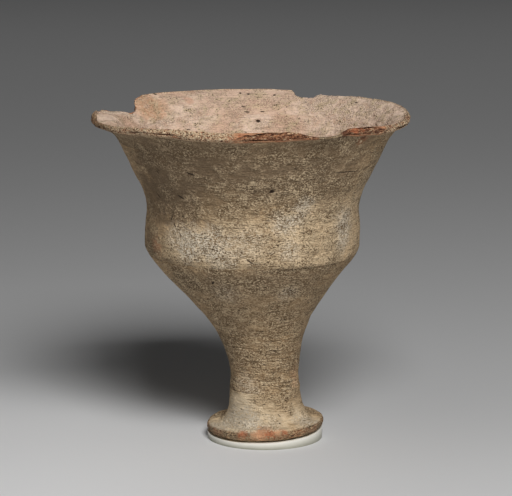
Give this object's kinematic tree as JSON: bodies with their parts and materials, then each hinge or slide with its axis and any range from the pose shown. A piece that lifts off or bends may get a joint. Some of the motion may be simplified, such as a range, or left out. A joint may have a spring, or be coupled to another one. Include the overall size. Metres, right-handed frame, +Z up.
{
  "type": "stemmed cup",
  "caption": "Ancient clay stemmed cup with a flaring mouth, chipped folded rim, funnel shaped lower bowl, waisted stem and spreading foot, standing on a wedge shaped levelling disc",
  "frame": {"origin": "centre of the levelling disc's flat underside, which rests on the table", "axes": "+Z up, +X to the right of a viewer who faces the cup along +Y"},
  "size_m": [0.151, 0.1503, 0.1585],
  "materials": {
    "frosted_acrylic": "sawn and frosted",
    "fired_clay_foot": "matte, worn at the edge",
    "fired_clay_stem": "matte, ringed by turning",
    "fired_clay_lower_bowl": "matte, scraped",
    "fired_clay_upper_wall": "matte, lightly crusted",
    "fired_clay_rim": "matte, chipped"
  },
  "bodies": {
    "levelling_disc": {"display_disc": "frosted_acrylic"},
    "cup": {"foot": "fired_clay_foot", "stem": "fired_clay_stem", "lower_bowl": "fired_clay_lower_bowl", "upper_wall": "fired_clay_upper_wall", "rim_ledge": "fired_clay_rim"}
  },
  "joints": [
    {"name": "cup_lift", "type": "slide", "parent": "levelling_disc", "child": "cup", "axis": [0, 0, 1], "range_m": [0, 0.04]}
  ]
}
